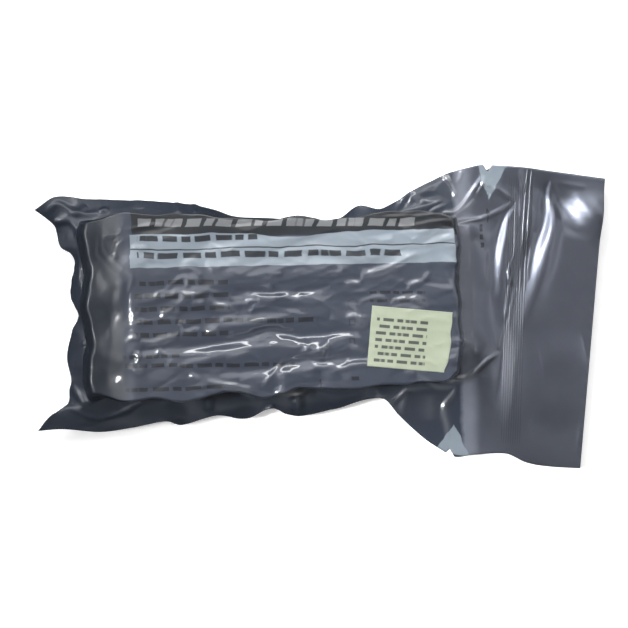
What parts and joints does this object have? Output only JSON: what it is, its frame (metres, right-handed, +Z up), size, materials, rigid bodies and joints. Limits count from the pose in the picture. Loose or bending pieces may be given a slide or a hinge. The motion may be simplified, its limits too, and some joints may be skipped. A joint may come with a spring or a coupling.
{
  "type": "emergency trauma bandage in its vacuum-packed pouch",
  "caption": "Wide folded trauma dressing, vacuum-packed in a lying sealed film pouch with a ruffled margin, a flat tear-open tail and a blank label.",
  "frame": {"origin": "under the middle of the pouch's overall box, on the surface that it lies on", "axes": "+X along the dressing towards the tail, +Y across the pouch towards the high side, where the margin is folded under, +Z up out of the printed front"},
  "size_m": [0.2372, 0.1262, 0.031],
  "materials": {
    "front_film": "glossy printed film",
    "back_film": "glossy film",
    "dressing": "matt woven cotton and elastic",
    "label": "matt coated paper"
  },
  "bodies": {
    "root": {"front_film": "front_film", "back_film": "back_film", "folded_dressing": "dressing", "label": "label"}
  },
  "joints": []
}
